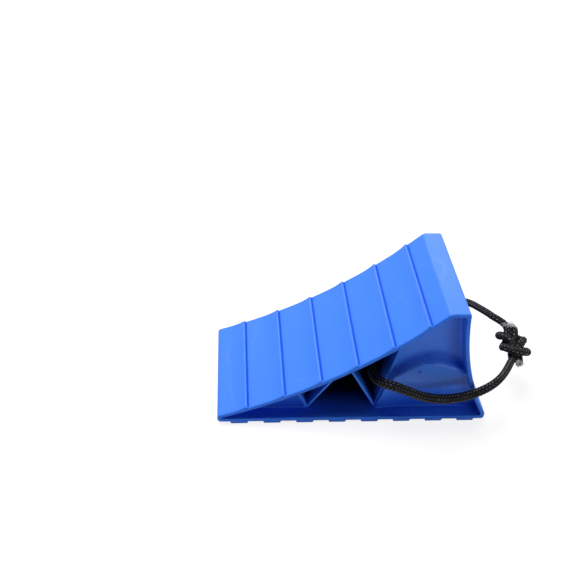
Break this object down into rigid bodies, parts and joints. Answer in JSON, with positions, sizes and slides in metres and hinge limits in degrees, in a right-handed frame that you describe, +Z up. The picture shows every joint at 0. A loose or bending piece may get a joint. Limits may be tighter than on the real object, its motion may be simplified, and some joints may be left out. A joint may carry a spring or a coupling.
{
  "type": "wheel chock",
  "caption": "Ribbed plastic wheel chock with a curved, ridged ramp, a hollow back, open sides braced by inner webs, and a knotted rope loop through its side for carrying and pulling it clear.",
  "frame": {"origin": "middle of the moulding's footprint, on the ground under its lugs", "axes": "+X from the toe to the tall heel end, +Y across the width to the side with the rope hole, +Z up"},
  "size_m": [0.2384, 0.1098, 0.1068],
  "materials": {
    "blue_plastic": "satin moulded plastic",
    "braided_cord": "matt braided cord"
  },
  "bodies": {
    "chock": {"chock_body": "blue_plastic"},
    "rope_loop": {"rope_end_a": "braided_cord", "rope_end_b": "braided_cord"}
  },
  "joints": [
    {"name": "rope_swing", "type": "hinge", "parent": "chock", "child": "rope_loop", "pos_m": [0.01255, 0, 0.03875], "axis": [0, -1, 0], "range_deg": [-10, 40]}
  ]
}
